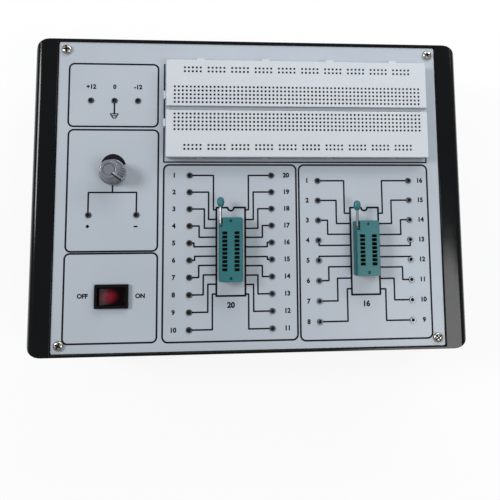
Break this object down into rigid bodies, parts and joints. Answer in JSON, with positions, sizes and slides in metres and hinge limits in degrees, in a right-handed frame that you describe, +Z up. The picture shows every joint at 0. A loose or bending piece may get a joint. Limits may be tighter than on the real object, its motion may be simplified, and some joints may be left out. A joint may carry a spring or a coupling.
{
  "type": "linear ic trainer",
  "caption": "Bench trainer for linear integrated circuits: a flat black case whose printed panel holds a solderless breadboard, lever sockets, patch sockets, a supply knob and a power rocker.",
  "frame": {"origin": "middle of the footprint, on the surface that the four feet stand on", "axes": "+X to the right of someone reading the panel, +Y to the rear edge with the mains inlet, +Z up out of the panel"},
  "size_m": [0.28, 0.203, 0.0864],
  "materials": {
    "black_plastic": "moulded black, satin to gloss",
    "panel_paint": "pale blue-grey printed laminate",
    "white_plastic": "off-white moulded",
    "green_plastic": "teal green moulded, satin",
    "grey_plastic": "grey moulded",
    "red_plastic": "deep red, translucent",
    "rubber": "matte",
    "foam": "self-adhesive foam sheet",
    "steel": "zinc or nickel plated",
    "brass": "plated",
    "aluminium": "mill finish",
    "core_steel": "varnished laminations",
    "tape": "insulating tape over the winding",
    "circuit_board": "solder mask",
    "dark_epoxy": "moulded epoxy",
    "blue_sleeve": "shrink sleeve",
    "wire_sleeve": "wire insulation"
  },
  "bodies": {
    "case": {"lower_case": "black_plastic", "upper_case": "black_plastic", "control_panel": "panel_paint", "panel_screw_1": "steel", "panel_screw_2": "steel", "panel_screw_3": "steel", "panel_screw_4": "steel", "foot_1": "rubber", "foot_2": "rubber", "foot_3": "rubber", "foot_4": "rubber", "case_screw_1": "steel", "case_screw_2": "steel", "case_screw_3": "steel", "case_screw_4": "steel", "mains_inlet": "black_plastic", "breadboard_body": "white_plastic", "breadboard_backing": "foam", "zif20_base": "green_plastic", "zif20_cover": "green_plastic", "zif16_base": "green_plastic", "zif16_cover": "green_plastic", "fixed_supply_sockets": "circuit_board", "variable_supply_sockets": "circuit_board", "zif20_terminal_board": "circuit_board", "zif16_terminal_board": "circuit_board", "pot_body": "steel", "pot_nut": "steel", "switch_housing": "black_plastic", "switch_terminal_1": "brass", "switch_terminal_2": "brass", "transformer_core": "core_steel", "transformer_winding": "tape", "transformer_bracket": "steel", "transformer_screw_1": "steel", "transformer_screw_2": "steel", "supply_board": "circuit_board", "smoothing_capacitor_1": "blue_sleeve", "smoothing_capacitor_2": "blue_sleeve", "regulator_1": "dark_epoxy", "regulator_2": "dark_epoxy", "regulator_3": "dark_epoxy", "heatsink": "aluminium", "rectifier": "dark_epoxy", "fuse_holder": "dark_epoxy", "fuse": "steel", "inlet_wire": "wire_sleeve", "transformer_wire": "wire_sleeve"},
    "knob": {"voltage_knob": "grey_plastic", "pot_shaft": "brass"},
    "rocker": {"switch_rocker": "red_plastic", "switch_plunger": "white_plastic", "switch_spring": "steel"},
    "seesaw": {"switch_contact": "brass"},
    "zif20_handle": {"zif20_lever": "steel", "zif20_lever_knob": "green_plastic"},
    "zif20_slide": {"zif20_slider": "green_plastic"},
    "zif16_handle": {"zif16_lever": "steel", "zif16_lever_knob": "green_plastic"},
    "zif16_slide": {"zif16_slider": "green_plastic"}
  },
  "joints": [
    {"name": "knob_turn", "type": "hinge", "parent": "case", "child": "knob", "pos_m": [-0.089, 0.0135, 0.0704], "axis": [0, 0, 1], "range_deg": [-23, 277]},
    {"name": "rocker_tip", "type": "hinge", "parent": "case", "child": "rocker", "pos_m": [-0.0883, -0.0647, 0.0706], "axis": [0, 1, 0], "range_deg": [-24, 0]},
    {"name": "seesaw_tip", "type": "hinge", "parent": "case", "child": "seesaw", "pos_m": [-0.0883, -0.0647, 0.062], "axis": [0, 1, 0], "range_deg": [0, 12.1]},
    {"name": "zif20_lever_lift", "type": "hinge", "parent": "case", "child": "zif20_handle", "pos_m": [-0.0139, -0.02097, 0.0795], "axis": [1, 0, 0], "range_deg": [0, 90]},
    {"name": "zif20_slider_travel", "type": "slide", "parent": "case", "child": "zif20_slide", "axis": [0, 1, 0], "range_m": [-0.0015, 0]},
    {"name": "zif16_lever_lift", "type": "hinge", "parent": "case", "child": "zif16_handle", "pos_m": [0.0735, -0.02351, 0.0795], "axis": [1, 0, 0], "range_deg": [0, 90]},
    {"name": "zif16_slider_travel", "type": "slide", "parent": "case", "child": "zif16_slide", "axis": [0, 1, 0], "range_m": [-0.0015, 0]}
  ],
  "couplings": [
    {"joint": "seesaw_tip", "follows": "rocker_tip", "ratio": -0.5},
    {"joint": "zif20_lever_lift", "follows": "zif20_slider_travel", "rad_per_m": -1047},
    {"joint": "zif16_lever_lift", "follows": "zif16_slider_travel", "rad_per_m": -1047}
  ]
}
